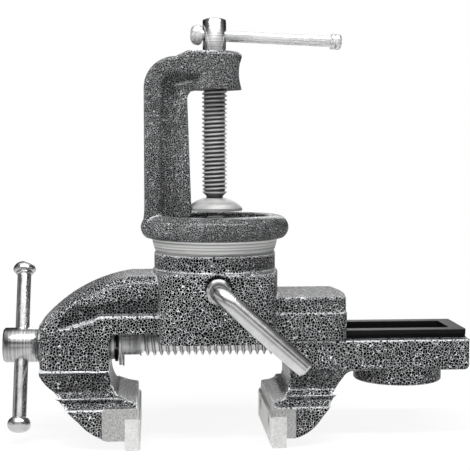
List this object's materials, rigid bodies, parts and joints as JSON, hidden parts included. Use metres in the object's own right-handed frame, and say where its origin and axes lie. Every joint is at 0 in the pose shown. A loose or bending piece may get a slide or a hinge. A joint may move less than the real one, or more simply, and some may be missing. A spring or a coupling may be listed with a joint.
{
  "type": "ball vise",
  "caption": "Clamp-on bench vise whose body swivels and tilts on a hollow ball locked by a lever, with jaw plates, sliding jaw, anvil and C-clamp base.",
  "frame": {"origin": "centre of the clamp base's flat table face, on the swivel axis", "axes": "+Z is the table face's outward normal, towards the clamp screw; +X runs along the lead screw from its T-bar to the anvil; +Y points away from the locking lever's side"},
  "size_m": [0.2674, 0.1033, 0.2408],
  "materials": {
    "hammertone": "hammertone enamel",
    "plated": "bright plated",
    "steel": "turned steel",
    "ground": "ground",
    "black": "black oxide"
  },
  "bodies": {
    "base": {"clamp_base": "hammertone"},
    "pad": {"clamp_pad": "steel"},
    "clamp_screw": {"clamp_screw": "steel"},
    "clamp_bar": {"clamp_bar": "plated", "clamp_bar_cap": "plated"},
    "swivel": {"outer_dished_washer": "steel"},
    "tilt": {"inner_dished_washer": "steel"},
    "vise": {"vise_body": "hammertone", "fixed_jaw_plate": "ground", "fixed_plate_screws": "steel"},
    "lever": {"lock_lever": "plated", "lever_ring": "black"},
    "draw": {"draw_bolt": "steel", "bolt_washer": "plated", "lock_nut": "plated"},
    "lead_screw": {"lead_screw": "plated", "thrust_washer": "plated", "spring_washer": "black", "flat_washer": "plated", "split_pin": "plated"},
    "main_bar": {"main_bar": "plated", "main_bar_cap": "plated"},
    "moving_jaw": {"moving_jaw": "hammertone", "moving_jaw_plate": "ground", "moving_plate_screws": "steel", "lead_nut": "steel"}
  },
  "joints": [
    {"name": "swivel", "type": "hinge", "parent": "base", "child": "swivel", "pos_m": [0, 0, -0.007], "axis": [0, 0, 1], "continuous": true},
    {"name": "tilt", "type": "hinge", "parent": "swivel", "child": "tilt", "pos_m": [0, 0, -0.007], "axis": [1, 0, 0], "range_deg": [-8, 8]},
    {"name": "spin", "type": "hinge", "parent": "tilt", "child": "vise", "pos_m": [0, 0, -0.007], "axis": [0, 0, 1], "continuous": true},
    {"name": "lever_turn", "type": "hinge", "parent": "vise", "child": "lever", "pos_m": [0, 0, -0.0401], "axis": [0, 1, 0], "range_deg": [-60, 0]},
    {"name": "draw_bolt", "type": "slide", "parent": "vise", "child": "draw", "axis": [0, 0, 1], "range_m": [0, 0.00071]},
    {"name": "screw_turn", "type": "hinge", "parent": "vise", "child": "lead_screw", "pos_m": [-0.08, 0, -0.075], "axis": [1, 0, 0], "range_deg": [-271, 6481]},
    {"name": "jaw_slide", "type": "slide", "parent": "vise", "child": "moving_jaw", "axis": [1, 0, 0], "range_m": [-0.072, 0.003]},
    {"name": "main_bar_slide", "type": "slide", "parent": "lead_screw", "child": "main_bar", "axis": [0, 0.4226, 0.9063], "range_m": [-0.0325, 0.0325]},
    {"name": "pad_travel", "type": "slide", "parent": "base", "child": "pad", "axis": [0, 0, 1], "range_m": [0, 0.0501]},
    {"name": "clamp_screw_turn", "type": "hinge", "parent": "pad", "child": "clamp_screw", "pos_m": [0, 0, 0.08], "axis": [0, 0, 1], "range_deg": [0, 7500]},
    {"name": "clamp_bar_slide", "type": "slide", "parent": "clamp_screw", "child": "clamp_bar", "axis": [-0.9991, 0, 0.0419], "range_m": [0, 0.0595]}
  ],
  "couplings": [
    {"joint": "draw_bolt", "follows": "lever_turn", "m_per_rad": -0.00066845},
    {"joint": "screw_turn", "follows": "jaw_slide", "rad_per_m": -1570.8},
    {"joint": "pad_travel", "follows": "clamp_screw_turn", "m_per_rad": 0.00038197}
  ]
}
